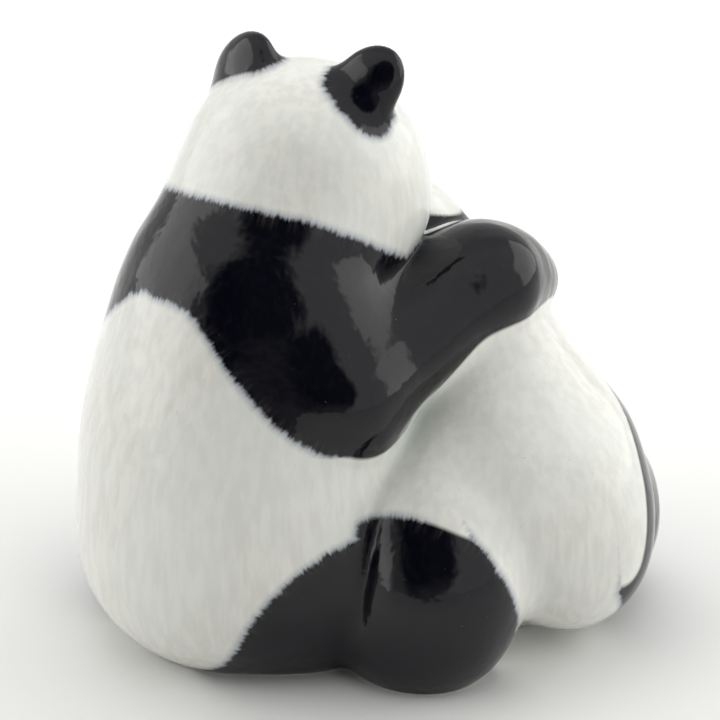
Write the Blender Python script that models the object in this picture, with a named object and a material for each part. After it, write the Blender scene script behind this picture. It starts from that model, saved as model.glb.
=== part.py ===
"""Porcelain figurine of two sitting pandas that hug, cast and glazed as one piece.

The adult leans on the young one, with an arm over its back. Both are made of round lobes that melt
into each other, as soft clay does: each lobe is a distance to its surface, and the figure is their
smooth union. Blender's voxel remesh gives the skin its mesh, which is then drawn onto that surface.

Lengths and places are in the figure's own units, about a millimetre each, until it is scaled to its
height, and angles are in degrees. The pandas are laid out as seen from behind, +X to the right, +Y away
and +Z up, and face -Y once the figure is turned.
"""

import math

import bmesh
import bpy
import numpy as np
from mathutils import Euler, Matrix, Vector

HEIGHT = 0.145

SKIN_GRID = 1.6
SKIN_STEPS = 4
LONGEST_STEP = 2.5
PROBE = 0.15
SKIN_TRIANGLES = 8900
SKIN_BALL_CUTS = 4
SKIN_RELAX = 0.5

WELL_DEPTH = 2.2
WELL_SIDES = 64
WELLS = {"adult_well": (-27, -8, 20), "young_left_well": (22, -27, 9), "young_right_well": (44, 9, 8)}

ADULT_HEADING = -50
YOUNG_HEADING = 43
ADULT_SEAT = (-28, -9, 0)
YOUNG_SEAT = (33, -7, 0)
ADULT_HEAD_CENTRE = (-14.2, 8.5, 109.4)
ADULT_HEAD_TURN = (-3, -4, -34)
YOUNG_HEAD_CENTRE = (-9, 40, 72)
YOUNG_HEAD_TURN = (-4, -6, 28)
YOUNG_HEAD_SHARE = 0.86
EAR_FILLET = 5
EAR_CUP_FILLET = 2
EAR_CUP_OFFSET = np.array((0, 1.06, 0.17))
EAR_CUP_SHARES = np.array((0.7, 0.62, 0.7))

PAINT_OVERLAP = 1.0
EAR_PAINT_OVERLAP = 1.6

WHITE_GLAZE = (0.80, 0.81, 0.78, 1.0)
BLACK_GLAZE = (0.020, 0.020, 0.022, 1.0)
GLAZE_ROUGHNESS = 0.12


def turned(degrees):
    return np.array(Euler([math.radians(angle) for angle in degrees]).to_matrix())


def smooth_step(value, start, end):
    share = np.clip((value - start) / (end - start), 0, 1)
    return share * share * (3 - 2 * share)


def blend(first, second, width):
    """The union of two shapes, with a fillet that starts this far from their seam."""
    near = np.maximum(width - np.abs(first - second), 0) / width
    return np.minimum(first, second) - near * near * width / 4


def carve(shape, tool, width):
    return -blend(-shape, tool, width)


class Axes:
    """A body's own right, forward and up."""

    def __init__(self, origin, turn):
        self.origin = np.array(origin, float)
        self.turn = turned(turn)

    def at(self, *place):
        return self.origin + self.turn @ np.array(place, float)

    def local(self, points):
        return (points - self.origin) @ self.turn


class Lobe:
    """An ellipsoid in a body's axes."""

    def __init__(self, axes, centre, radii, turn=(0, 0, 0), fillet=10):
        self.axes = axes
        self.centre = np.array(centre, float)
        self.radii = np.array(radii, float)
        self.turn = turned(turn)
        self.fillet = fillet

    def distance(self, points):
        places = (self.axes.local(points) - self.centre) @ self.turn
        reach = np.linalg.norm(places / self.radii, axis=1)
        slope = np.linalg.norm(places / self.radii**2, axis=1)
        return reach * (reach - 1) / np.maximum(slope, 1e-9)

    def balls(self):
        turn = Matrix(self.axes.turn @ self.turn).to_4x4()
        return [Matrix.Translation(self.axes.at(*self.centre)) @ turn @ Matrix.Diagonal((*self.radii, 1))]


class Limb:
    """A round bar between two points of a body, with a radius at each."""

    def __init__(self, axes, start, end, start_radius, end_radius, fillet=8):
        self.start = axes.at(*start)
        self.end = axes.at(*end)
        self.start_radius = start_radius
        self.end_radius = end_radius
        self.fillet = fillet

    def distance(self, points):
        along = self.end - self.start
        share = np.clip((points - self.start) @ along / (along @ along), 0, 1)
        radius = self.start_radius + (self.end_radius - self.start_radius) * share
        return np.linalg.norm(points - self.start - share[:, None] * along, axis=1) - radius

    def balls(self):
        length = np.linalg.norm(self.end - self.start)
        count = 1 + math.ceil(length / (0.4 * min(self.start_radius, self.end_radius)))
        shares = np.linspace(0, 1, count)
        radii = self.start_radius + (self.end_radius - self.start_radius) * shares
        centres = self.start + shares[:, None] * (self.end - self.start)
        return [Matrix.Translation(c) @ Matrix.Scale(r, 4) for c, r in zip(centres, radii)]


def melted(lobes, points):
    distance = lobes[0].distance(points)
    for lobe in lobes[1:]:
        distance = blend(distance, lobe.distance(points), lobe.fillet)
    return distance


class Ear:
    """A round ear, hollow in front."""

    def __init__(self, head, centre, turn, radii, paint_shift=(0, 0, 0)):
        centre = np.array(centre, float)
        cup = centre + turned(turn) @ (radii * EAR_CUP_OFFSET)
        self.shell = Lobe(head, centre, radii, turn, EAR_FILLET)
        self.hollow = Lobe(head, cup, radii * EAR_CUP_SHARES, turn)
        self.patch = Lobe(head, centre + paint_shift, radii, turn)

    def distance(self, points):
        return carve(self.shell.distance(points), self.hollow.distance(points), EAR_CUP_FILLET)

    def black(self, points):
        nearest = np.minimum(self.shell.distance(points), self.patch.distance(points))
        return EAR_PAINT_OVERLAP - nearest


class Panda:
    """One animal: its trunk, limbs, head and ears, and where its glaze is black."""

    limb_fillet = 7
    neck_fillet = 12
    crease_fillet = 1.5

    def surface(self, points):
        """The head melts into the trunk, and only a narrow fillet joins it to the limbs."""
        trunk = melted(self.trunk, points)
        distance = trunk
        for limb in self.limbs:
            distance = blend(distance, melted(limb, points), self.limb_fillet)
        head = blend(trunk, melted(self.head, points), self.neck_fillet)
        distance = blend(distance, head, self.crease_fillet)
        for ear in self.ears:
            distance = blend(distance, ear.distance(points), ear.shell.fillet)
        return distance

    def balls(self):
        shapes = self.trunk + self.head + [ear.shell for ear in self.ears]
        for limb in self.limbs:
            shapes = shapes + limb
        return [ball for shape in shapes for ball in shape.balls()]

    def black(self, points):
        """How far inside the black glaze a point is, below 0 on the white."""
        on_trunk = melted(self.head, points) - melted(self.trunk, points)
        depth = np.minimum(self.saddle(points), on_trunk + self.neck_paint)
        for limb in self.limbs:
            depth = np.maximum(depth, PAINT_OVERLAP - melted(limb, points))
        for ear in self.ears:
            depth = np.maximum(depth, ear.black(points))
        depth = np.maximum(depth, self.leg_patches(points))
        return np.maximum(depth, self.face_marks(points))

    def leg_patch(self, points, side, centre, radii):
        """A round patch on the outer side of a thigh, down to the ground."""
        right, forward, up = self.axes.local(points).T
        forward = (forward - centre[0]) / radii[0]
        up = np.maximum(up - centre[1], 0) / radii[1]
        return np.minimum((1 - np.hypot(forward, up)) * min(radii), side * right)

    def face_marks(self, points):
        """Drooping patches round the eyes, and the nose."""
        size = self.head_share
        places = self.head_axes.local(points) / size
        depth = (1 - np.linalg.norm((places - (0, 33.5, -3.6)) / (4.8, 4, 3.3), axis=1)) * 3.3
        for side in (-1, 1):
            tilt = turned((0, side * 32, 0))
            patch = (places - (side * 12, 24, 1.5)) @ tilt / (5.8, 12, 8.4)
            depth = np.maximum(depth, (1 - np.linalg.norm(patch, axis=1)) * 5.8)
        return depth * size


class Adult(Panda):
    head_share = 1.0
    neck_paint = 8

    def __init__(self):
        body = Axes(ADULT_SEAT, (0, 0, ADULT_HEADING))
        head = Axes(ADULT_HEAD_CENTRE, ADULT_HEAD_TURN)
        room = Axes((0, 0, 0), (0, 0, 0))
        self.axes = body
        self.head_axes = head
        self.trunk = [
            Lobe(body, (0, 0, 38), (41, 40, 38)),
            Lobe(body, (0, -1, 19), (37.5, 39, 27), fillet=14),
            Lobe(body, (0, 12, 34), (32, 30, 32), fillet=12),
            Lobe(body, (-3, 1, 66), (35, 31, 34), fillet=20),
            Lobe(body, (-3, 7, 90), (28, 25, 24), fillet=20),
            Lobe(body, (22, 8, 20), (20, 25, 24)),
            Lobe(body, (-24, 14, 20), (18, 28, 23)),
        ]
        self.head = [
            Lobe(head, (-1.4, 0, 0), (29.5, 27.5, 26.5)),
            Lobe(head, (12.5, 5, -9), (13, 14, 12)),
            Lobe(head, (-16, 5, -9), (13, 14, 12)),
            Lobe(head, (0, 22.5, -7.5), (13, 10.5, 10), fillet=7),
            Lobe(head, (0, 32, -3.6), (4.2, 2.8, 3), fillet=2),
        ]
        self.ears = [
            Ear(head, (-16, -1.5, 22.8), (-16, -40, -12), (11.3, 4.8, 8.3), (0, 0.8, 0.8)),
            Ear(head, (15.9, 1.5, 22.2), (-20, 37, -11), (8.3, 4.8, 11.8), (0.8, -3.3, -1.5)),
        ]
        right_arm = [
            Limb(room, (-12, -18, 84), (-6, -28.5, 69.5), 14, 13.5),
            Limb(room, (-6, -28.5, 69.5), (28, -2, 86), 13.5, 11.3),
            Limb(room, (28, -2, 85.5), (33, 8, 81.8), 11.3, 9.2),
            Limb(room, (33, 8, 81.8), (37, 13.5, 79), 9.2, 7.8),
            Limb(room, (-8, -8, 78), (24, 8, 84), 13, 11.3),
        ]
        left_arm = [
            Limb(body, (-27, 8, 80), (-34, 24, 54), 13, 12),
            Limb(body, (-34, 24, 54), (-18, 48, 50), 12, 10.5),
        ]
        left_foot = [
            Limb(body, (-26, 26, 16), (-27, 46, 13), 15, 11),
            Lobe(body, (-27, 50, 14), (11, 8.5, 15), (12, 0, 0), 6),
        ]
        self.limbs = [right_arm, left_arm, left_foot]

    def saddle(self, points):
        """The band over the shoulders, highest on the spine and lower towards the arms."""
        right, forward, up = self.axes.local(points).T
        round_back = np.degrees(np.arctan2(np.abs(right), -forward))
        lower_edge = 92 - 31.5 * smooth_step(round_back, 12, 88)
        upper_edge = 108 + 0.16 * right - 0.42 * np.clip(forward, -12, 30) - 0.2 * np.clip(forward - 2, 0, 30)
        return np.minimum(up - lower_edge, upper_edge - up)

    def leg_patches(self, points):
        patches = [self.leg_patch(points, side, (0, 12), (27.5, 27)) for side in (-1, 1)]
        return np.maximum(*patches)


class Young(Panda):
    head_share = YOUNG_HEAD_SHARE
    neck_paint = 0

    def __init__(self):
        body = Axes(YOUNG_SEAT, (0, 0, YOUNG_HEADING))
        head = Axes(YOUNG_HEAD_CENTRE, YOUNG_HEAD_TURN)
        self.axes = body
        self.head_axes = head
        self.trunk = [
            Lobe(body, (-0.5, 0, 38), (33, 33, 29.5)),
            Lobe(body, (4, -18, 25), (20, 18.5, 22)),
            Lobe(body, (0, 4, 20), (24, 24, 24), fillet=5),
            Lobe(body, (-1, 14, 58), (22.5, 24, 26), fillet=15),
            Lobe(body, (0, 27, 69), (21.5, 21, 20), fillet=16),
            Lobe(body, (-30.5, -8, 21), (21, 20.5, 27), (7, 7, 0), 6),
            Lobe(body, (-32, 0, 10), (20, 18, 14), fillet=6),
            Lobe(body, (-25, 2, 36), (21, 20, 21), fillet=8),
            Lobe(body, (21.5, 0, 20), (20.5, 24, 26), fillet=5),
            Lobe(body, (3.3, 34.3, 77.4), (16, 15, 16), fillet=8),
            Lobe(body, (3.7, 44, 85.5), (15, 15, 15), fillet=8),
            Lobe(body, (-7, 34, 24), (15, 15, 27), fillet=8),
        ]
        self.head = [
            Lobe(head, (0, 0, 0), (25.5, 24, 23)),
            Lobe(head, (14, 5, -7), (13, 14, 12)),
            Lobe(head, (-14, 5, -7), (13, 14, 12)),
            Lobe(head, (0, 19.5, -6.5), (11.5, 9, 8.8), fillet=6),
            Lobe(head, (0, 27.6, -3), (3.7, 2.4, 2.6), fillet=2),
        ]
        self.ears = [
            Ear(head, (side * 16, 0, 19), (6, side * 36, side * 12), (8.7, 4.4, 9.8)) for side in (-1, 1)
        ]
        right_arm = [
            Limb(body, (18, 22, 59), (29, 28, 47), 11, 11),
            Limb(body, (29, 28, 47), (24, 43, 42), 11, 9.5),
        ]
        right_foot = [
            Limb(body, (25, 20, 15), (27, 44, 13), 14, 10),
            Lobe(body, (27, 48, 13.5), (10, 8, 14), (12, 0, 0), 6),
        ]
        self.limbs = [right_arm, right_foot]

    def saddle(self, points):
        """The band over the shoulders, which runs down to the right arm past the adult's paw."""
        right, forward, up = self.axes.local(points).T
        round_right = np.degrees(np.arctan2(right, 20 - forward))
        at_arm = smooth_step(round_right, 58, 80) * (1 - smooth_step(round_right, 120, 160))
        return np.minimum(up - (82 - 32 * at_arm), 95.7 - 0.28 * right - up)

    def leg_patches(self, points):
        """Both patches stop at the rump, which bulges over the right one near the ground."""
        right, forward, up = self.axes.local(points).T
        rump_left = -22.5 - 0.45 * np.maximum(up - 17, 0)
        rump_right = 2 + 0.6 * np.maximum(19 - up, 0)
        left_patch = self.leg_patch(points, -1, (-11, 20), (21.5, 25.3))
        right_patch = self.leg_patch(points, 1, (-5, 24), (31.5, 34))
        return np.maximum(
            np.minimum(left_patch, rump_left - right),
            np.minimum(right_patch, right - rump_right),
        )


ADULT = Adult()
YOUNG = Young()
HUG_FILLET = 3


def surface(points):
    return blend(ADULT.surface(points), YOUNG.surface(points), HUG_FILLET)


def black_glaze(points):
    """Each animal's own paint."""
    nearer_adult = ADULT.surface(points) < YOUNG.surface(points)
    return np.where(nearer_adult, ADULT.black(points), YOUNG.black(points))


def slopes(points):
    """The gradient of the distance to the surface."""
    corners = np.array([(1, -1, -1), (-1, -1, 1), (-1, 1, -1), (1, 1, 1)])
    samples = [corner * surface(points + PROBE * corner)[:, None] for corner in corners]
    return sum(samples) / (4 * PROBE)


def relaxed(points, edges, share):
    """Each point drawn towards the middle of its neighbours."""
    total = np.zeros_like(points)
    count = np.zeros(len(points))
    for near, far in (edges.T, edges.T[::-1]):
        np.add.at(total, near, points[far])
        np.add.at(count, near, 1)
    return points + share * (total / count[:, None] - points)


def clear_scene():
    for obj in list(bpy.data.objects):
        bpy.data.objects.remove(obj, do_unlink=True)


def glaze(name, colour):
    material = bpy.data.materials.new(name)
    material.use_nodes = True
    shader = material.node_tree.nodes["Principled BSDF"]
    shader.inputs["Base Color"].default_value = colour
    shader.inputs["Roughness"].default_value = GLAZE_ROUGHNESS
    shader.inputs["Metallic"].default_value = 0.0
    material.diffuse_color = colour
    return material


def new_object(name, mesh):
    obj = bpy.data.objects.new(name, mesh)
    bpy.context.scene.collection.objects.link(obj)
    return obj


def apply_modifiers(obj):
    graph = bpy.context.evaluated_depsgraph_get()
    mesh = bpy.data.meshes.new_from_object(obj.evaluated_get(graph))
    obj.modifiers.clear()
    obj.data = mesh


def lump_of_balls(name):
    """Every lobe as a ball, fused into one closed skin by a voxel remesh."""
    bm = bmesh.new()
    for ball in ADULT.balls() + YOUNG.balls():
        bmesh.ops.create_icosphere(bm, subdivisions=SKIN_BALL_CUTS, radius=1, matrix=ball)
    mesh = bpy.data.meshes.new(name)
    bm.to_mesh(mesh)
    bm.free()
    obj = new_object(name, mesh)
    fuse = obj.modifiers.new("Fuse", "REMESH")
    fuse.mode = "VOXEL"
    fuse.voxel_size = SKIN_GRID
    apply_modifiers(obj)
    return obj


def draw_onto_surface(mesh):
    points = np.empty(len(mesh.vertices) * 3, np.float32)
    mesh.vertices.foreach_get("co", points)
    points = points.reshape(-1, 3).astype(float)
    edges = np.array([tuple(edge.vertices) for edge in mesh.edges])
    for step in range(SKIN_STEPS):
        slope = slopes(points)
        steepness = np.maximum((slope**2).sum(axis=1), 0.05)
        move = np.clip(surface(points) / steepness, -LONGEST_STEP, LONGEST_STEP)
        points = points - slope * move[:, None]
        if step < SKIN_STEPS - 1:
            points = relaxed(points, edges, SKIN_RELAX)
    mesh.vertices.foreach_set("co", points.astype(np.float32).ravel())
    mesh.update()


def cut_at_table(mesh):
    """Everything under the table is cut off, and the cut is closed with one flat face."""
    bm = bmesh.new()
    bm.from_mesh(mesh)
    geometry = bm.verts[:] + bm.edges[:] + bm.faces[:]
    cut = bmesh.ops.bisect_plane(bm, geom=geometry, plane_co=(0, 0, 0), plane_no=(0, 0, 1), clear_inner=True)
    rim = [item for item in cut["geom_cut"] if isinstance(item, bmesh.types.BMEdge)]
    bmesh.ops.contextual_create(bm, geom=rim)
    bmesh.ops.recalc_face_normals(bm, faces=bm.faces[:])
    bm.to_mesh(mesh)
    bm.free()


def well_cutter(name, right, away, radius):
    """A round cutter for a shallow hollow in the underside."""
    bm = bmesh.new()
    place = Matrix.Translation((right, away, 0))
    bmesh.ops.create_cone(
        bm,
        cap_ends=True,
        segments=WELL_SIDES,
        radius1=radius,
        radius2=radius,
        depth=2 * WELL_DEPTH,
        matrix=place,
    )
    mesh = bpy.data.meshes.new(name)
    bm.to_mesh(mesh)
    bm.free()
    return new_object(name, mesh)


def panda_pair():
    obj = lump_of_balls("panda_pair")
    draw_onto_surface(obj.data)
    cut_at_table(obj.data)
    thin = obj.modifiers.new("Fewer faces", "DECIMATE")
    corners = sum(len(face.vertices) - 2 for face in obj.data.polygons)
    thin.ratio = SKIN_TRIANGLES / corners
    apply_modifiers(obj)
    for vertex in obj.data.vertices:
        if abs(vertex.co.z) < SKIN_GRID / 16:
            vertex.co.z = 0
    for name, (right, away, radius) in WELLS.items():
        cutter = well_cutter(name, right, away, radius)
        hollow = obj.modifiers.new(name, "BOOLEAN")
        hollow.operation = "DIFFERENCE"
        hollow.object = cutter
        apply_modifiers(obj)
        bpy.data.objects.remove(cutter, do_unlink=True)
    return obj


def paint(obj):
    obj.data.materials.clear()
    obj.data.materials.append(glaze("White glaze", WHITE_GLAZE))
    obj.data.materials.append(glaze("Black glaze", BLACK_GLAZE))
    centres = np.array([face.center for face in obj.data.polygons])
    black = black_glaze(centres) > 0
    for face, is_black in zip(obj.data.polygons, black):
        face.material_index = int(is_black)
    obj.data.shade_smooth()
    obj.data.set_sharp_from_angle(angle=math.radians(50))


def placing(mesh):
    """To full size, facing -Y, with the middle of the box over the origin."""
    points = np.array([vertex.co for vertex in mesh.vertices])
    low, high = points.min(axis=0), points.max(axis=0)
    middle = Vector(((low[0] + high[0]) / 2, (low[1] + high[1]) / 2, 0))
    return Matrix.Rotation(math.pi, 4, "Z") @ Matrix.Scale(HEIGHT / high[2], 4) @ Matrix.Translation(-middle)


clear_scene()
figure = panda_pair()
paint(figure)
laid_to_placed = placing(figure.data)
figure.data.transform(laid_to_placed)
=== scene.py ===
"""The porcelain pair of hugging pandas, with its fine surface, glaze and studio.

The skin repeats the part's lobes at a finer grid and adds the eyes, nostrils, mouths, toes and the
slight waves of a hand-finished glaze. Lengths and places of the figure are in the part's own units,
laid out as seen from behind, +X to the right, +Y away and +Z up, and are placed on the frame's box.
"""

import math

import bmesh
import bpy
import numpy as np
from mathutils import Euler, Matrix, Vector, noise


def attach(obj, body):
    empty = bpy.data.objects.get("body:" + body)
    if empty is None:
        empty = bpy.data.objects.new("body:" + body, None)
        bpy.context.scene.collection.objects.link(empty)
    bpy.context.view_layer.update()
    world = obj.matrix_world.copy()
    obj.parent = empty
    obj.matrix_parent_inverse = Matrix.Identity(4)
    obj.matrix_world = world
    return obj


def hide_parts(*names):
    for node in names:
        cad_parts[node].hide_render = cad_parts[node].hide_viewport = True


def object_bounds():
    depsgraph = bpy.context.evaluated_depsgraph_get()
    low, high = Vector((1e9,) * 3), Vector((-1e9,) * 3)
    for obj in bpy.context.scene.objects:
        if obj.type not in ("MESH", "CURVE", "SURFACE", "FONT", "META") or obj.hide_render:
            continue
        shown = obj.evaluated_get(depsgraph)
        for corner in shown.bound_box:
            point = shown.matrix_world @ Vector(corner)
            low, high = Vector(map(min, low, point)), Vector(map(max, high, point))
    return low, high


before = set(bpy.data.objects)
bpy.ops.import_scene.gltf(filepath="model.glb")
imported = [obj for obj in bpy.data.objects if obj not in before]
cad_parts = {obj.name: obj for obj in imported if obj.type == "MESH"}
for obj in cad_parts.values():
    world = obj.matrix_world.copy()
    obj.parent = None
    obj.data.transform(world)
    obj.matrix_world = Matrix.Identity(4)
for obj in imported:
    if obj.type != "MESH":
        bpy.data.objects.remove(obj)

cad_box = [list(corner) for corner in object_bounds()]

SKIN_GRID = 1.05
SKIN_STEPS = 4
LONGEST_STEP = 2.5
LAST_STEP = 1
CUT_MARGIN = 0.3
RELIEF_STARTS = 4
PROBE = 0.15

WELL_DEPTH = 2.2
WELLS = ((-27, -8, 20), (22, -27, 9), (44, 9, 8))

ADULT_HEADING = -50
YOUNG_HEADING = 43
ADULT_SEAT = (-28, -9, 0)
YOUNG_SEAT = (33, -7, 0)
ADULT_HEAD_CENTRE = (-14.2, 8.5, 109.4)
ADULT_HEAD_TURN = (-3, -4, -34)
YOUNG_HEAD_CENTRE = (-9, 40, 72)
YOUNG_HEAD_TURN = (-4, -6, 28)
YOUNG_HEAD_SHARE = 0.86
EAR_FILLET = 5
EAR_CUP_FILLET = 2
EAR_CUP_OFFSET = np.array((0, 1.06, 0.17))
EAR_CUP_SHARES = np.array((0.7, 0.62, 0.7))

PAINT_OVERLAP = 1.0
EAR_PAINT_OVERLAP = 1.6
HEM_ABOVE = 50
HEM_WIDTH = 2.2
CREASE_PAINT = 3

WAVE_LENGTH = 17
WAVE_HEIGHT = 0.22
FACE_REACH = 16
PAINT_REACH = 6
ARM_SEAM = np.array(((8, -19, 88), (28, -7, 97)))
ARM_SEAM_REACH = 11
ARM_SEAM_RUBS = 15
HOLLOW_REACH = 3
FAR_AWAY = 99.0

WHITE_STROKE = (0.715, 0.718, 0.67, 1)
WHITE = (0.79, 0.79, 0.742, 1)
WHITE_CLOUD = (0.77, 0.80, 0.765, 1)
# Darker greenish grey for the creases: partly the tint of pooled glaze, partly painted shade.
WHITE_POOLED_AND_SHADED = (0.58, 0.64, 0.60, 1)
HALO = (0.30, 0.335, 0.40, 1)
IRON_SPECK = (0.20, 0.17, 0.14, 1)
INK = (0.0016, 0.0019, 0.0050, 1)
INK_THIN = (0.030, 0.024, 0.023, 1)
INK_STREAK = (0.0058, 0.0060, 0.0105, 1)
INK_FLECK = (0.30, 0.30, 0.30, 1)
EYE_RIM = (0.25, 0.24, 0.22, 1)
IRIS = (0.030, 0.014, 0.006, 1)
PUPIL = (0.0016, 0.0014, 0.0014, 1)
MOUTH = (0.03, 0.027, 0.026, 1)
BARE_FOOT = (0.62, 0.58, 0.52, 1)
GLAZE_IOR = 1.42
PAPER = (0.86, 0.86, 0.855, 1)

TENT_COLOUR = (1.0, 0.995, 0.975, 1)
TENT_LEVEL = 0.99

PICTURE_WIDTH = 720
PIXELS_PER_UNIT = 4.2
CAMERA_ELEVATION = 27
CAMERA_DISTANCE = 850
CAMERA_TARGET = (-2, 0, 64)
SENSOR_WIDTH = 36


def turned(degrees):
    return np.array(Euler([math.radians(angle) for angle in degrees]).to_matrix())


def smooth_step(value, start, end):
    share = np.clip((value - start) / (end - start), 0, 1)
    return share * share * (3 - 2 * share)


def blend(first, second, width):
    """The union of two shapes, with a fillet that starts this far from their seam."""
    near = np.maximum(width - np.abs(first - second), 0) / width
    return np.minimum(first, second) - near * near * width / 4


def carve(shape, tool, width):
    return -blend(-shape, tool, width)


class Axes:
    """A body's own right, forward and up."""

    def __init__(self, origin, turn):
        self.origin = np.array(origin, float)
        self.turn = turned(turn)

    def at(self, *place):
        return self.origin + self.turn @ np.array(place, float)

    def local(self, points):
        return (points - self.origin) @ self.turn


class Lobe:
    """An ellipsoid in a body's axes."""

    def __init__(self, axes, centre, radii, turn=(0, 0, 0), fillet=10):
        self.axes = axes
        self.centre = np.array(centre, float)
        self.radii = np.array(radii, float)
        self.turn = turned(turn)
        self.fillet = fillet

    def distance(self, points):
        places = (self.axes.local(points) - self.centre) @ self.turn
        reach = np.linalg.norm(places / self.radii, axis=1)
        slope = np.linalg.norm(places / self.radii**2, axis=1)
        return reach * (reach - 1) / np.maximum(slope, 1e-9)

    def balls(self):
        turn = Matrix(self.axes.turn @ self.turn).to_4x4()
        return [Matrix.Translation(self.axes.at(*self.centre)) @ turn @ Matrix.Diagonal((*self.radii, 1))]


class Limb:
    """A round bar between two points of a body, with a radius at each."""

    def __init__(self, axes, start, end, start_radius, end_radius, fillet=8):
        self.start = axes.at(*start)
        self.end = axes.at(*end)
        self.start_radius = start_radius
        self.end_radius = end_radius
        self.fillet = fillet

    def distance(self, points):
        along = self.end - self.start
        share = np.clip((points - self.start) @ along / (along @ along), 0, 1)
        radius = self.start_radius + (self.end_radius - self.start_radius) * share
        return np.linalg.norm(points - self.start - share[:, None] * along, axis=1) - radius

    def balls(self):
        length = np.linalg.norm(self.end - self.start)
        count = 1 + math.ceil(length / (0.4 * min(self.start_radius, self.end_radius)))
        shares = np.linspace(0, 1, count)
        radii = self.start_radius + (self.end_radius - self.start_radius) * shares
        centres = self.start + shares[:, None] * (self.end - self.start)
        return [Matrix.Translation(c) @ Matrix.Scale(r, 4) for c, r in zip(centres, radii)]


def melted(lobes, points):
    distance = lobes[0].distance(points)
    for lobe in lobes[1:]:
        distance = blend(distance, lobe.distance(points), lobe.fillet)
    return distance


class Ear:
    """A round ear, hollow in front."""

    def __init__(self, head, centre, turn, radii, paint_shift=(0, 0, 0)):
        centre = np.array(centre, float)
        cup = centre + turned(turn) @ (radii * EAR_CUP_OFFSET)
        self.shell = Lobe(head, centre, radii, turn, EAR_FILLET)
        self.hollow = Lobe(head, cup, radii * EAR_CUP_SHARES, turn)
        self.patch = Lobe(head, centre + paint_shift, radii, turn)

    def distance(self, points):
        return carve(self.shell.distance(points), self.hollow.distance(points), EAR_CUP_FILLET)

    def black(self, points):
        nearest = np.minimum(self.shell.distance(points), self.patch.distance(points))
        return EAR_PAINT_OVERLAP - nearest


class Panda:
    """One animal: its trunk, limbs, head and ears, and where its glaze is black."""

    limb_fillet = 7
    neck_fillet = 12
    crease_fillet = 1.5

    def surface(self, points):
        """The head melts into the trunk, and only a narrow fillet joins it to the limbs."""
        trunk = melted(self.trunk, points)
        distance = trunk
        for limb in self.limbs:
            distance = blend(distance, melted(limb, points), self.limb_fillet)
        head = blend(trunk, melted(self.head, points), self.neck_fillet)
        distance = blend(distance, head, self.crease_fillet)
        for ear in self.ears:
            distance = blend(distance, ear.distance(points), ear.shell.fillet)
        return distance

    def balls(self):
        shapes = self.trunk + self.head + [ear.shell for ear in self.ears]
        for limb in self.limbs:
            shapes = shapes + limb
        return [ball for shape in shapes for ball in shape.balls()]

    def black(self, points):
        """How far inside the black glaze a point is, below 0 on the white."""
        on_trunk = melted(self.head, points) - melted(self.trunk, points)
        depth = np.minimum(self.saddle(points), on_trunk + self.neck_paint)
        for limb in self.limbs:
            depth = np.maximum(depth, PAINT_OVERLAP - melted(limb, points))
        for ear in self.ears:
            depth = np.maximum(depth, ear.black(points))
        depth = np.maximum(depth, self.leg_patches(points))
        return np.maximum(depth, self.face_marks(points))

    def leg_patch(self, points, side, centre, radii):
        """A round patch on the outer side of a thigh, down to the ground."""
        right, forward, up = self.axes.local(points).T
        forward = (forward - centre[0]) / radii[0]
        up = np.maximum(up - centre[1], 0) / radii[1]
        return np.minimum((1 - np.hypot(forward, up)) * min(radii), side * right)

    def face_marks(self, points):
        """Drooping patches round the eyes, and the nose."""
        size = self.head_share
        places = self.head_axes.local(points) / size
        depth = (1 - np.linalg.norm((places - (0, 33.5, -3.6)) / (4.8, 4, 3.3), axis=1)) * 3.3
        for side in (-1, 1):
            tilt = turned((0, side * 32, 0))
            patch = (places - (side * 12, 24, 1.5)) @ tilt / (5.8, 12, 8.4)
            depth = np.maximum(depth, (1 - np.linalg.norm(patch, axis=1)) * 5.8)
        return depth * size


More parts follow.
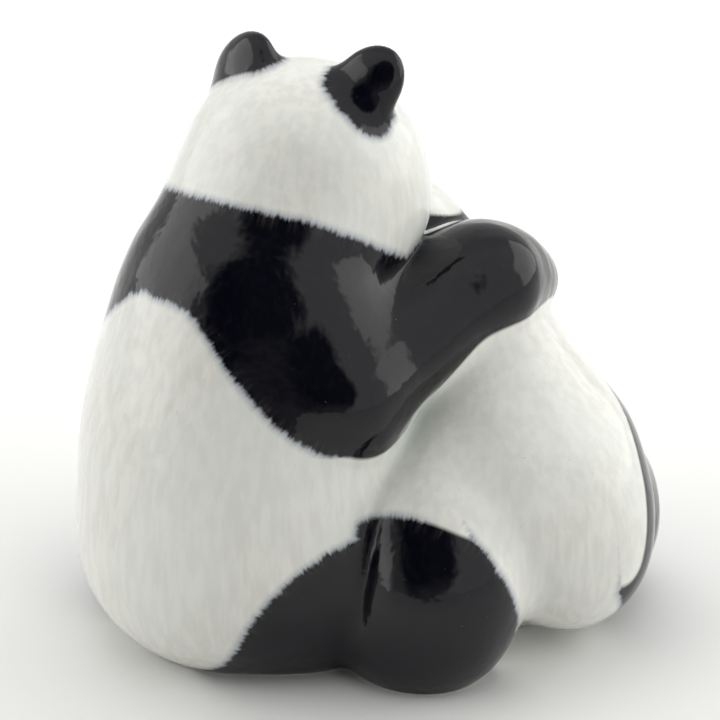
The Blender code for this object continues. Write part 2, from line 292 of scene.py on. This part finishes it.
class Adult(Panda):
    head_share = 1.0
    neck_paint = 8

    def __init__(self):
        body = Axes(ADULT_SEAT, (0, 0, ADULT_HEADING))
        head = Axes(ADULT_HEAD_CENTRE, ADULT_HEAD_TURN)
        room = Axes((0, 0, 0), (0, 0, 0))
        self.axes = body
        self.head_axes = head
        self.trunk = [
            Lobe(body, (0, 0, 38), (41, 40, 38)),
            Lobe(body, (0, -1, 19), (37.5, 39, 27), fillet=14),
            Lobe(body, (0, 12, 34), (32, 30, 32), fillet=12),
            Lobe(body, (-3, 1, 66), (35, 31, 34), fillet=20),
            Lobe(body, (-3, 7, 90), (28, 25, 24), fillet=20),
            Lobe(body, (22, 8, 20), (20, 25, 24)),
            Lobe(body, (-24, 14, 20), (18, 28, 23)),
        ]
        self.head = [
            Lobe(head, (-1.4, 0, 0), (29.5, 27.5, 26.5)),
            Lobe(head, (12.5, 5, -9), (13, 14, 12)),
            Lobe(head, (-16, 5, -9), (13, 14, 12)),
            Lobe(head, (0, 22.5, -7.5), (13, 10.5, 10), fillet=7),
            Lobe(head, (0, 32, -3.6), (4.2, 2.8, 3), fillet=2),
        ]
        self.ears = [
            Ear(head, (-16, -1.5, 22.8), (-16, -40, -12), (11.3, 4.8, 8.3), (0, 0.8, 0.8)),
            Ear(head, (15.9, 1.5, 22.2), (-20, 37, -11), (8.3, 4.8, 11.8), (0.8, -3.3, -1.5)),
        ]
        right_arm = [
            Limb(room, (-12, -18, 84), (-6, -28.5, 69.5), 14, 13.5),
            Limb(room, (-6, -28.5, 69.5), (28, -2, 86), 13.5, 11.3),
            Limb(room, (28, -2, 85.5), (33, 8, 81.8), 11.3, 9.2),
            Limb(room, (33, 8, 81.8), (37, 13.5, 79), 9.2, 7.8),
            Limb(room, (-8, -8, 78), (24, 8, 84), 13, 11.3),
        ]
        left_arm = [
            Limb(body, (-27, 8, 80), (-34, 24, 54), 13, 12),
            Limb(body, (-34, 24, 54), (-18, 48, 50), 12, 10.5),
        ]
        left_foot = [
            Limb(body, (-26, 26, 16), (-27, 46, 13), 15, 11),
            Lobe(body, (-27, 50, 14), (11, 8.5, 15), (12, 0, 0), 6),
        ]
        self.limbs = [right_arm, left_arm, left_foot]

    def saddle(self, points):
        """The band over the shoulders, highest on the spine and lower towards the arms."""
        right, forward, up = self.axes.local(points).T
        round_back = np.degrees(np.arctan2(np.abs(right), -forward))
        lower_edge = 92 - 31.5 * smooth_step(round_back, 12, 88)
        upper_edge = 108 + 0.16 * right - 0.42 * np.clip(forward, -12, 30) - 0.2 * np.clip(forward - 2, 0, 30)
        return np.minimum(up - lower_edge, upper_edge - up)

    def leg_patches(self, points):
        patches = [self.leg_patch(points, side, (0, 12), (27.5, 27)) for side in (-1, 1)]
        return np.maximum(*patches)


class Young(Panda):
    head_share = YOUNG_HEAD_SHARE
    neck_paint = 0

    def __init__(self):
        body = Axes(YOUNG_SEAT, (0, 0, YOUNG_HEADING))
        head = Axes(YOUNG_HEAD_CENTRE, YOUNG_HEAD_TURN)
        self.axes = body
        self.head_axes = head
        self.trunk = [
            Lobe(body, (-0.5, 0, 38), (33, 33, 29.5)),
            Lobe(body, (4, -18, 25), (20, 18.5, 22)),
            Lobe(body, (0, 4, 20), (24, 24, 24), fillet=5),
            Lobe(body, (-1, 14, 58), (22.5, 24, 26), fillet=15),
            Lobe(body, (0, 27, 69), (21.5, 21, 20), fillet=16),
            Lobe(body, (-30.5, -8, 21), (21, 20.5, 27), (7, 7, 0), 6),
            Lobe(body, (-32, 0, 10), (20, 18, 14), fillet=6),
            Lobe(body, (-25, 2, 36), (21, 20, 21), fillet=8),
            Lobe(body, (21.5, 0, 20), (20.5, 24, 26), fillet=5),
            Lobe(body, (3.3, 34.3, 77.4), (16, 15, 16), fillet=8),
            Lobe(body, (3.7, 44, 85.5), (15, 15, 15), fillet=8),
            Lobe(body, (-7, 34, 24), (15, 15, 27), fillet=8),
        ]
        self.head = [
            Lobe(head, (0, 0, 0), (25.5, 24, 23)),
            Lobe(head, (14, 5, -7), (13, 14, 12)),
            Lobe(head, (-14, 5, -7), (13, 14, 12)),
            Lobe(head, (0, 19.5, -6.5), (11.5, 9, 8.8), fillet=6),
            Lobe(head, (0, 27.6, -3), (3.7, 2.4, 2.6), fillet=2),
        ]
        self.ears = [
            Ear(head, (side * 16, 0, 19), (6, side * 36, side * 12), (8.7, 4.4, 9.8)) for side in (-1, 1)
        ]
        right_arm = [
            Limb(body, (18, 22, 59), (29, 28, 47), 11, 11),
            Limb(body, (29, 28, 47), (24, 43, 42), 11, 9.5),
        ]
        right_foot = [
            Limb(body, (25, 20, 15), (27, 44, 13), 14, 10),
            Lobe(body, (27, 48, 13.5), (10, 8, 14), (12, 0, 0), 6),
        ]
        self.limbs = [right_arm, right_foot]

    def saddle(self, points):
        """The band over the shoulders, which runs down to the right arm past the adult's paw."""
        right, forward, up = self.axes.local(points).T
        round_right = np.degrees(np.arctan2(right, 20 - forward))
        at_arm = smooth_step(round_right, 58, 80) * (1 - smooth_step(round_right, 120, 160))
        return np.minimum(up - (82 - 32 * at_arm), 95.7 - 0.28 * right - up)

    def leg_patches(self, points):
        """Both patches stop at the rump, which bulges over the right one near the ground."""
        right, forward, up = self.axes.local(points).T
        rump_left = -22.5 - 0.45 * np.maximum(up - 17, 0)
        rump_right = 2 + 0.6 * np.maximum(19 - up, 0)
        left_patch = self.leg_patch(points, -1, (-11, 20), (21.5, 25.3))
        right_patch = self.leg_patch(points, 1, (-5, 24), (31.5, 34))
        return np.maximum(
            np.minimum(left_patch, rump_left - right),
            np.minimum(right_patch, right - rump_right),
        )


ADULT = Adult()
YOUNG = Young()
HUG_FILLET = 3


def surface(points):
    return blend(ADULT.surface(points), YOUNG.surface(points), HUG_FILLET)


def black_glaze(points):
    """Each animal's own paint. The adult's arms keep a pale hem along the young one, and low down
    the paint of one animal runs over the crease onto the other."""
    to_adult = ADULT.surface(points)
    to_young = YOUNG.surface(points)
    on_adult, on_young = ADULT.black(points), YOUNG.black(points)
    high = points[:, 2] > HEM_ABOVE
    hem = np.where(high, to_young - HEM_WIDTH, np.inf)
    depth = np.where(to_adult < to_young, np.minimum(on_adult, hem), on_young)
    shared = np.minimum(np.maximum(on_adult, on_young), CREASE_PAINT - np.abs(to_adult - to_young))
    return np.where(high, depth, np.maximum(depth, shared))


def calm_edge(points):
    """1 where the paint ends in a smooth line along the young one, 0 where it ends in hairs."""
    beside = smooth_step(YOUNG.surface(points), 7, 3) * smooth_step(points[:, 2], HEM_ABOVE - 5, HEM_ABOVE)
    return np.where(ADULT.surface(points) < YOUNG.surface(points) + 1, beside, 0)


def slopes(points, field=surface):
    """The gradient of a field of the figure, of the distance to its surface as a rule."""
    corners = np.array([(1, -1, -1), (-1, -1, 1), (-1, 1, -1), (1, 1, 1)])
    samples = [corner * field(points + PROBE * corner)[:, None] for corner in corners]
    return sum(samples) / (4 * PROBE)


def to_surface(points, slope, longest):
    """One Newton step onto the surface, no longer than this."""
    steepness = np.maximum((slope**2).sum(axis=1), 0.05)
    move = np.clip(surface(points) / steepness, -longest, longest)
    return -slope * move[:, None]


def units_of(slope):
    return slope / np.maximum(np.linalg.norm(slope, axis=1), 1e-6)[:, None]


def relaxed(points, edges, share):
    """Each point drawn towards the middle of its neighbours."""
    total = np.zeros_like(points)
    count = np.zeros(len(points))
    for near, far in (edges.T, edges.T[::-1]):
        np.add.at(total, near, points[far])
        np.add.at(count, near, 1)
    return points + share * (total / count[:, None] - points)


def new_object(name, data):
    obj = bpy.data.objects.new(name, data)
    bpy.context.scene.collection.objects.link(obj)
    return obj


def apply_modifiers(obj):
    graph = bpy.context.evaluated_depsgraph_get()
    mesh = bpy.data.meshes.new_from_object(obj.evaluated_get(graph))
    obj.modifiers.clear()
    obj.data = mesh


def lump_of_balls(name):
    """Every lobe as a ball, fused into one closed skin by a voxel remesh."""
    bm = bmesh.new()
    for ball in ADULT.balls() + YOUNG.balls():
        bmesh.ops.create_icosphere(bm, subdivisions=4, radius=1, matrix=ball)
    mesh = bpy.data.meshes.new(name)
    bm.to_mesh(mesh)
    bm.free()
    obj = new_object(name, mesh)
    fuse = obj.modifiers.new("Fuse", "REMESH")
    fuse.mode = "VOXEL"
    fuse.voxel_size = SKIN_GRID
    apply_modifiers(obj)
    return obj


def vertices_of(mesh):
    points = np.empty(len(mesh.vertices) * 3, np.float32)
    mesh.vertices.foreach_get("co", points)
    return points.reshape(-1, 3).astype(float)


def edges_of(mesh):
    ends = np.empty(len(mesh.edges) * 2, np.int32)
    mesh.edges.foreach_get("vertices", ends)
    return ends.reshape(-1, 2)


def set_vertices(mesh, points):
    mesh.vertices.foreach_set("co", points.astype(np.float32).ravel())
    mesh.update()


def draw_onto_surface(mesh, steps):
    """Newton steps onto the surface, each but the last followed by an even spreading of the points."""
    points = vertices_of(mesh)
    edges = edges_of(mesh)
    for step in range(steps):
        points = points + to_surface(points, slopes(points), LONGEST_STEP)
        if step < steps - 1:
            points = relaxed(points, edges, 0.5)
    set_vertices(mesh, points)


def in_head(panda, points):
    return panda.head_axes.local(points) / panda.head_share


def refine_faces(mesh):
    """The faces of both muzzles and eyes are cut in four, so that their small forms have room."""
    bm = bmesh.new()
    bm.from_mesh(mesh)
    centres = np.array([edge.verts[0].co + edge.verts[1].co for edge in bm.edges]) / 2
    chosen = np.zeros(len(centres), bool)
    for panda in (ADULT, YOUNG):
        right, forward, up = in_head(panda, centres).T
        chosen |= (forward > 18) & (np.abs(right) < FACE_REACH) & (np.abs(up + 2) < FACE_REACH)
    edges = [edge for edge, near in zip(bm.edges, chosen) if near]
    bmesh.ops.subdivide_edges(bm, edges=edges, cuts=1, use_grid_fill=True)
    bmesh.ops.triangulate(bm, faces=[face for face in bm.faces if len(face.verts) > 4])
    bm.to_mesh(mesh)
    bm.free()


def groove(offset, width):
    return np.exp(-((offset / width) ** 2))


def mouth_offset(places):
    """How far a point of the face is from the line of the mouth and the line under the nose."""
    right, forward, up = places.T
    smile = -12.4 + 0.055 * right**2
    from_smile = np.hypot(up - smile, np.maximum(np.abs(right) - 6.5, 0))
    from_lip = np.hypot(right, np.maximum(up + 6.6, 0) + np.maximum(-12.4 - up, 0))
    return np.where(forward > 12, np.minimum(from_smile, from_lip), FAR_AWAY)


def eye_reach(places):
    """0 at the middle of either eye and 1 at its rim."""
    right, forward, up = places.T
    across = (np.abs(right) - 11.4) / 2.3
    return np.where(forward > 12, np.hypot(across, (up - 3.1) / 2.3), FAR_AWAY)


def nostril_reach(places):
    right, forward, up = places.T
    across = (np.abs(right) - 1.7) / 0.95
    return np.where(forward > 25, np.hypot(across, (up + 4.6) / 0.75), FAR_AWAY)


def toe_creases(points):
    """Grooves between the toes of the two feet that stick out in front."""
    depth = np.zeros(len(points))
    for panda, middle, reach in ((ADULT, -27, 52), (YOUNG, 27, 50)):
        right, forward, up = panda.axes.local(points).T
        on_foot = smooth_step(forward, reach - 12, reach - 6) * smooth_step(up, 15, 21)
        on_foot = on_foot * (np.abs(right - middle) < 12)
        for step in (-1.5, -0.5, 0.5, 1.5):
            depth = np.maximum(depth, on_foot * groove(right - middle - 4.6 * step, 0.9))
    return depth


def waves(points):
    """Slow unevenness of the slip and of the glaze that ran over it."""
    lift = [noise.noise(Vector(point) / WAVE_LENGTH) for point in points]
    finer = [noise.noise(Vector(point) / (0.42 * WAVE_LENGTH) + Vector((31, 7, 19))) for point in points]
    return WAVE_HEIGHT * (np.array(lift) + 0.3 * np.array(finer))


def rub_arm_seam(points, edges):
    """The seam between the bars of the adult's right arm is rubbed down."""
    start, end = ARM_SEAM
    along = end - start
    share = np.clip((points - start) @ along / (along @ along), 0, 1)
    distance = np.linalg.norm(points - start - share[:, None] * along, axis=1)
    weight = smooth_step(distance, ARM_SEAM_REACH, ARM_SEAM_REACH / 2)[:, None]
    for _ in range(ARM_SEAM_RUBS):
        points = points + weight * (relaxed(points, edges, 0.5) - points)
    return points


def relief(points):
    """How far each point of the skin stands out of the plain surface."""
    lift = waves(points) - 0.7 * toe_creases(points)
    for panda in (ADULT, YOUNG):
        places = in_head(panda, points)
        mine = panda.surface(points) < 1.5
        bead = np.sqrt(np.clip(1 - eye_reach(places) ** 2, 0, 1))
        lid = groove(eye_reach(places) - 1.25, 0.22)
        mouth = groove(mouth_offset(places), 0.55)
        nostril = groove(nostril_reach(places), 0.9)
        face = 0.9 * bead + 0.25 * lid - 0.6 * mouth - 0.7 * nostril
        lift = lift + np.where(mine, face * panda.head_share, 0)
    return lift


def cut_at_table(mesh):
    """Everything under the table is cut off, and the cut is closed with one flat face."""
    bm = bmesh.new()
    bm.from_mesh(mesh)
    geometry = bm.verts[:] + bm.edges[:] + bm.faces[:]
    cut = bmesh.ops.bisect_plane(bm, geom=geometry, plane_co=(0, 0, 0), plane_no=(0, 0, 1), clear_inner=True)
    rim = [item for item in cut["geom_cut"] if isinstance(item, bmesh.types.BMEdge)]
    bmesh.ops.contextual_create(bm, geom=rim)
    bmesh.ops.recalc_face_normals(bm, faces=bm.faces[:])
    bm.to_mesh(mesh)
    bm.free()


def cut_wells(obj):
    for right, away, radius in WELLS:
        bm = bmesh.new()
        place = Matrix.Translation((right, away, 0))
        bmesh.ops.create_cone(
            bm, cap_ends=True, segments=96, radius1=radius, radius2=radius, depth=2 * WELL_DEPTH, matrix=place
        )
        mesh = bpy.data.meshes.new("well")
        bm.to_mesh(mesh)
        bm.free()
        cutter = new_object("well", mesh)
        hollow = obj.modifiers.new("Well", "BOOLEAN")
        hollow.operation = "DIFFERENCE"
        hollow.object = cutter
        apply_modifiers(obj)
        bpy.data.objects.remove(cutter, do_unlink=True)


def add_attribute(mesh, name, values):
    attribute = mesh.attributes.new(name, "FLOAT", "POINT")
    attribute.data.foreach_set("value", np.asarray(values, np.float32))


def paint_edge(points, normal):
    """How deep in the black each point lies, along the skin, the nearest point of the black's edge,
    and how little that point can be trusted."""
    depth = black_glaze(points)
    slope = slopes(points, black_glaze)
    slope -= (slope * normal).sum(axis=1)[:, None] * normal
    length = np.linalg.norm(slope, axis=1)
    steep = np.clip(length, 0.35, 3.0)
    depth = np.clip(depth / steep, -PAINT_REACH, PAINT_REACH)
    return depth, points - depth[:, None] * slope / steep[:, None], smooth_step(length, 0.75, 0.45)


def record_paint(mesh):
    """What the glaze needs to know of each point, in units of the figure."""
    points = vertices_of(mesh)
    normal = units_of(slopes(points))
    depth, edge, unsure = paint_edge(points, normal)
    add_attribute(mesh, "black", depth)
    add_attribute(mesh, "calm", np.maximum(calm_edge(points), unsure))
    attribute = mesh.attributes.new("edge", "FLOAT_VECTOR", "POINT")
    attribute.data.foreach_set("vector", edge.astype(np.float32).ravel())
    # How deep in a crease each point lies; the glaze darkens there with painted shade and the tint of pooled
    # glaze.
    outside = surface(points + HOLLOW_REACH * normal)
    add_attribute(mesh, "hollow", np.clip(HOLLOW_REACH - outside, 0, HOLLOW_REACH))
    mouth = np.full(len(points), FAR_AWAY)
    eye = np.full(len(points), FAR_AWAY)
    for panda in (ADULT, YOUNG):
        places = in_head(panda, points)
        mine = panda.surface(points) < 2.5
        mouth = np.where(mine, np.minimum(mouth, mouth_offset(places)), mouth)
        eye = np.where(mine, np.minimum(eye, eye_reach(places)), eye)
    add_attribute(mesh, "mouth", mouth)
    add_attribute(mesh, "eye", eye)


def place_on_box(mesh, box):
    """Half a turn, so that the backs look to +Y, and onto the box of the part."""
    points = vertices_of(mesh) * (-1, -1, 1)
    low, high = points.min(axis=0), points.max(axis=0)
    low_goal, high_goal = np.array(box[0]), np.array(box[1])
    scale = (high_goal - low_goal) / (high - low)
    set_vertices(mesh, (points - low) * scale + low_goal)
    return scale, low_goal - low * scale


skin = lump_of_balls("pandas")
draw_onto_surface(skin.data, SKIN_STEPS)
cut_at_table(skin.data)
refine_faces(skin.data)
skin_points = vertices_of(skin.data)
above = skin_points[:, 2] > CUT_MARGIN
slope = slopes(skin_points)
skin_points[above] += to_surface(skin_points, slope, LAST_STEP)[above]
skin_points = rub_arm_seam(skin_points, edges_of(skin.data))
lift = relief(skin_points) * smooth_step(skin_points[:, 2], 0, RELIEF_STARTS)
set_vertices(skin.data, skin_points)
record_paint(skin.data)
set_vertices(skin.data, skin_points + units_of(slope) * lift[:, None])
cut_wells(skin)
scale, shift = place_on_box(skin.data, cad_box)
skin.data.shade_smooth()
skin.data.set_sharp_from_angle(angle=math.radians(55))


def placed(right, away, up):
    """A place of the layout, as a place of the frame."""
    return Vector(np.array((-right, -away, up)) * scale + shift)


class Graph:
    """A node tree, made and joined with short calls."""

    def __init__(self, tree):
        self.tree = tree

    def link(self, source, target):
        self.tree.links.new(source, target)

    def node(self, kind, **settings):
        made = self.tree.nodes.new(kind)
        for key, value in settings.items():
            setattr(made, key, value)
        return made

    def put(self, target, value):
        if isinstance(value, bpy.types.NodeSocket):
            self.link(value, target)
        else:
            target.default_value = value

    def sums(self, operation, *values):
        made = self.node("ShaderNodeMath", operation=operation)
        for socket, value in zip(made.inputs, values):
            self.put(socket, value)
        return made.outputs[0]

    def less(self, share, drop):
        """1, less this much of the share."""
        return self.sums("SUBTRACT", 1.0, self.sums("MULTIPLY", share, drop))

    def ramp(self, value, low, high, start=0.0, end=1.0):
        made = self.node("ShaderNodeMapRange", interpolation_type="SMOOTHSTEP")
        self.put(made.inputs["Value"], value)
        for name, number in (("From Min", low), ("From Max", high), ("To Min", start), ("To Max", end)):
            made.inputs[name].default_value = number
        return made.outputs["Result"]


class Nodes(Graph):
    """A material of one Principled shader."""

    def __init__(self, name):
        self.material = bpy.data.materials.new(name)
        self.material.use_nodes = True
        super().__init__(self.material.node_tree)
        self.shader = self.tree.nodes["Principled BSDF"]

    def attribute(self, name, output="Fac"):
        return self.node("ShaderNodeAttribute", attribute_name=name).outputs[output]

    def millimetres(self, stretch=(1, 1, 1)):
        where = self.node("ShaderNodeTexCoord").outputs["Object"]
        mapping = self.node("ShaderNodeMapping")
        self.link(where, mapping.inputs["Vector"])
        mapping.inputs["Scale"].default_value = [1000 * share for share in stretch]
        return mapping.outputs["Vector"]

    def noise(self, vector, scale, detail=2.0, roughness=0.5):
        made = self.node("ShaderNodeTexNoise")
        self.link(vector, made.inputs["Vector"])
        made.inputs["Scale"].default_value = scale
        made.inputs["Detail"].default_value = detail
        made.inputs["Roughness"].default_value = roughness
        return made.outputs["Fac"]

    def mix(self, share, first, second):
        made = self.node("ShaderNodeMix", data_type="RGBA")
        wanted = (("Factor", "VALUE", share), ("A", "RGBA", first), ("B", "RGBA", second))
        for name, kind, value in wanted:
            self.put(next(s for s in made.inputs if (s.name, s.type) == (name, kind)), value)
        return next(socket for socket in made.outputs if socket.type == "RGBA")

    def bump(self, height, strength, distance):
        made = self.node("ShaderNodeBump")
        made.inputs["Strength"].default_value = strength
        made.inputs["Distance"].default_value = distance
        self.link(height, made.inputs["Height"])
        self.link(made.outputs["Normal"], self.shader.inputs["Normal"])


def glaze_material():
    """White and black glaze from the recorded paint, with the marks of the brush and of the kiln, and painted
    shade that darkens the creases.
    """
    nodes = Nodes("Porcelain glaze")
    mix = nodes.mix
    where = nodes.millimetres()
    strokes = nodes.millimetres((1, 1, 0.2))
    black = nodes.attribute("black")
    hollow = nodes.attribute("hollow")
    height = nodes.node("ShaderNodeSeparateXYZ")
    nodes.link(where, height.inputs[0])
    up = height.outputs["Z"]
    edge = nodes.attribute("edge", "Vector")

    tufts = nodes.sums("SUBTRACT", nodes.noise(edge, 0.55, 2.0, 0.6), 0.5)
    hairs = nodes.sums("SUBTRACT", nodes.noise(edge, 1.9, 1.0), 0.5)
    grain = nodes.sums("SUBTRACT", nodes.noise(where, 1.3, 2.0), 0.5)
    wild = nodes.sums("SUBTRACT", 1.0, nodes.attribute("calm"))
    teeth = nodes.sums("MULTIPLY_ADD", tufts, 2.4, nodes.sums("MULTIPLY", hairs, 1.3))
    teeth = nodes.sums("MULTIPLY_ADD", grain, 0.8, teeth)
    ragged = nodes.sums("MULTIPLY_ADD", teeth, wild, black)
    is_black = nodes.ramp(ragged, -0.75, 0.65)
    fringe = nodes.sums("MULTIPLY_ADD", teeth, nodes.sums("MULTIPLY", wild, 0.45), black)
    halo = nodes.sums("MULTIPLY", nodes.ramp(fringe, -2.3, 0.2, 0, 0.8), wild)
    worn = nodes.ramp(nodes.noise(edge, 0.9, 2.0), 0.42, 0.75)
    thin = nodes.sums("MULTIPLY", nodes.ramp(ragged, 4.0, 0.2), worn)

    brush = nodes.noise(strokes, 0.45, 3.0)
    cloud = nodes.noise(where, 0.045, 2.0)
    white = mix(nodes.ramp(brush, 0.35, 0.65), WHITE_STROKE, WHITE)
    white = mix(nodes.ramp(cloud, 0.35, 0.7, 0, 0.5), white, WHITE_CLOUD)
    # The creases turn a darker greenish grey: pooled glaze tint and painted shade together.
    pooled_and_shaded = nodes.ramp(hollow, 0.5, 2.6, 0, 0.75)
    white = mix(pooled_and_shaded, white, WHITE_POOLED_AND_SHADED)
    white = mix(halo, white, HALO)
    specks = nodes.ramp(nodes.noise(where, 1.1, 1.0), 0.80, 0.83)
    white = mix(nodes.sums("MULTIPLY", specks, 0.4), white, IRON_SPECK)

    ink = mix(thin, INK, INK_THIN)
    streaks = nodes.ramp(nodes.noise(strokes, 0.7, 3.0), 0.45, 0.75, 0, 0.55)
    ink = mix(streaks, ink, INK_STREAK)
    flecks = nodes.ramp(nodes.noise(where, 1.5, 1.0), 0.80, 0.83)
    ink = mix(nodes.sums("MULTIPLY", flecks, 0.4), ink, INK_FLECK)

    eye = nodes.attribute("eye")
    rim = nodes.sums("MULTIPLY", nodes.ramp(eye, 1.0, 1.1), nodes.ramp(eye, 1.3, 1.2))
    ink = mix(nodes.sums("MULTIPLY", rim, 0.35), ink, EYE_RIM)
    iris = nodes.ramp(eye, 1.05, 0.9)
    ink = mix(iris, ink, IRIS)
    pupil = nodes.ramp(eye, 0.66, 0.52)
    ink = mix(pupil, ink, PUPIL)

    colour = mix(is_black, white, ink)
    mouth = nodes.ramp(nodes.attribute("mouth"), 0.62, 0.3, 0, 0.9)
    colour = mix(mouth, colour, MOUTH)
    foot = nodes.ramp(up, 0.45, 0.15)
    colour = mix(foot, colour, BARE_FOOT)
    nodes.link(colour, nodes.shader.inputs["Base Color"])

    gloss = nodes.ramp(nodes.noise(where, 0.12, 3.0), 0.3, 0.7, 0.05, 0.10)
    dull = nodes.sums("MULTIPLY_ADD", foot, 0.6, gloss)
    nodes.link(dull, nodes.shader.inputs["Roughness"])
    nodes.shader.inputs["IOR"].default_value = GLAZE_IOR
    nodes.shader.inputs["Metallic"].default_value = 0.0

    ripple = nodes.sums("MULTIPLY_ADD", brush, 0.10, nodes.noise(where, 0.16, 2.0))
    nodes.bump(ripple, 0.6, 0.0004)
    return nodes.material


skin.data.materials.clear()
skin.data.materials.append(glaze_material())
for face in skin.data.polygons:
    face.material_index = 0
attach(skin, "root")
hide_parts("panda_pair")


def floor_material():
    nodes = Nodes("Paper")
    nodes.shader.inputs["Base Color"].default_value = PAPER
    nodes.shader.inputs["Roughness"].default_value = 0.7
    nodes.bump(nodes.noise(nodes.millimetres(), 1.5, 3.0), 0.1, 0.0001)
    return nodes.material


def make_floor():
    bm = bmesh.new()
    bmesh.ops.create_grid(bm, x_segments=8, y_segments=8, size=4)
    mesh = bpy.data.meshes.new("floor")
    bm.to_mesh(mesh)
    bm.free()
    floor = new_object("floor", mesh)
    floor.data.materials.append(floor_material())


def aim(obj, target):
    obj.rotation_euler = (target - obj.location).to_track_quat("-Z", "Y").to_euler()


class Sky(Graph):
    """The light of the tent, as brightness by direction in the layout's axes."""

    def __init__(self):
        world = bpy.data.worlds.new("Tent")
        bpy.context.scene.world = world
        world.use_nodes = True
        super().__init__(world.node_tree)
        self.background = self.tree.nodes["Background"]
        self.direction = self.node("ShaderNodeTexCoord").outputs["Generated"]

    def along(self, axis):
        made = self.node("ShaderNodeVectorMath", operation="DOT_PRODUCT")
        self.link(self.direction, made.inputs[0])
        made.inputs[1].default_value = axis
        return made.outputs["Value"]

    def axes(self, azimuth, elevation):
        """Towards a direction of the layout, and the right and up of someone who looks there."""
        a, e = math.radians(azimuth), math.radians(elevation)
        towards = Vector((math.sin(a) * math.cos(e), math.cos(a) * math.cos(e), math.sin(e)))
        right = Vector((math.cos(a), -math.sin(a), 0))
        up = right.cross(towards)
        return [Vector((-v.x, -v.y, v.z)) for v in (towards, right, up)]

    def spot(self, azimuth, elevation, inner, outer):
        """1 within a cone, 0 outside a wider one."""
        towards = self.axes(azimuth, elevation)[0]
        outside, inside = (math.cos(math.radians(angle)) for angle in (outer, inner))
        return self.ramp(self.along(towards), outside, inside)

    def panel(self, azimuth, elevation, half_width, half_height, soft):
        """1 on a flat panel that is this many degrees wide and high, with soft edges."""
        towards, right, up = self.axes(azimuth, elevation)
        ahead = self.sums("MAXIMUM", self.along(towards), 0.01)
        share = None
        for axis, half in ((right, half_width), (up, half_height)):
            offset = self.sums("ABSOLUTE", self.sums("DIVIDE", self.along(axis), ahead))
            inside, outside = (math.tan(math.radians(half + turn)) for turn in (-soft, soft))
            part = self.ramp(offset, outside, inside)
            share = part if share is None else self.sums("MULTIPLY", share, part)
        return share


def floor_lamp(name, place, target, width, height, power):
    """A soft lamp that lights the floor and the glaze and leaves the reflections to the tent."""
    data = bpy.data.lights.new(name, "AREA")
    data.shape = "RECTANGLE"
    data.size = width
    data.size_y = height
    data.energy = power
    lamp = new_object(name, data)
    lamp.location = placed(*place)
    aim(lamp, placed(*target))
    lamp.visible_glossy = False


def make_studio():
    """A tent that is dark on the camera's side, dim beyond it and bright on the left and right."""
    sky = Sky()
    height = sky.along(Vector((0, 0, 1)))
    dark = sky.less(sky.spot(194, 28, 29, 40), sky.ramp(height, 0.05, 0.35, 0.72, 0.95))
    side = sky.less(sky.spot(-136, 20, 16, 30), 0.55)
    ahead = sky.less(sky.spot(0, 20, 25, 70), 0.4)
    light = sky.sums("MULTIPLY", sky.sums("MULTIPLY", dark, side), ahead)
    light = sky.sums("MULTIPLY_ADD", sky.panel(-84, 15, 32, 22, 2), 1.25, light)
    light = sky.sums("MULTIPLY_ADD", sky.panel(72, 18, 32, 30, 3), 1.2, light)
    sky.link(sky.sums("MULTIPLY", light, TENT_LEVEL), sky.background.inputs["Strength"])
    sky.background.inputs["Color"].default_value = TENT_COLOUR
    floor_lamp("Lamp", (0, 300, 480), (0, 240, 0), 0.6, 0.4, 1.3)


def make_camera():
    data = bpy.data.cameras.new("camera")
    data.sensor_width = SENSOR_WIDTH
    data.lens = SENSOR_WIDTH * CAMERA_DISTANCE / (PICTURE_WIDTH / PIXELS_PER_UNIT)
    data.clip_start = 0.05
    data.clip_end = 20
    camera = new_object("camera", data)
    angle = math.radians(CAMERA_ELEVATION)
    right, away, up = CAMERA_TARGET
    camera.location = placed(
        right, away - CAMERA_DISTANCE * math.cos(angle), up + CAMERA_DISTANCE * math.sin(angle)
    )
    aim(camera, placed(*CAMERA_TARGET))
    bpy.context.scene.camera = camera


make_floor()
make_studio()
make_camera()
bpy.context.scene.view_settings.view_transform = "Standard"

bpy.context.view_layer.update()
